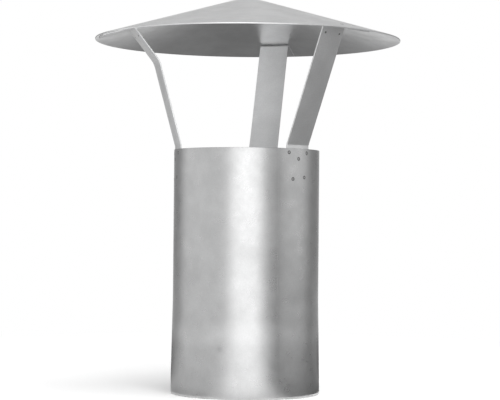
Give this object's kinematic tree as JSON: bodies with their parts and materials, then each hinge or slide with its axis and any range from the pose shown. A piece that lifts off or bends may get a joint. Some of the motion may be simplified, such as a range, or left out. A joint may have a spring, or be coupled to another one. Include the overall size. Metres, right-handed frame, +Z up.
{
  "type": "stove pipe with rain cap",
  "caption": "Short flue pipe with a widened lower end and a low conical rain cap held above it on bent flat straps.",
  "frame": {"origin": "centre of the pipe's lower rim, on the plane it stands on", "axes": "+Z up along the pipe to the cap's point, -Y towards the front, +X to the right"},
  "size_m": [0.252, 0.252, 0.3248],
  "materials": {
    "pipe_sheet": "fine-grained bright grey sheet, semi-matt",
    "cap_sheet": "fine-grained grey sheet, semi-matt",
    "strap_steel": "smooth grey strip, semi-matt"
  },
  "bodies": {
    "root": {"flue_pipe": "pipe_sheet", "rain_cap": "cap_sheet", "strap_rear": "strap_steel", "strap_left": "strap_steel", "strap_right": "strap_steel"}
  },
  "joints": []
}
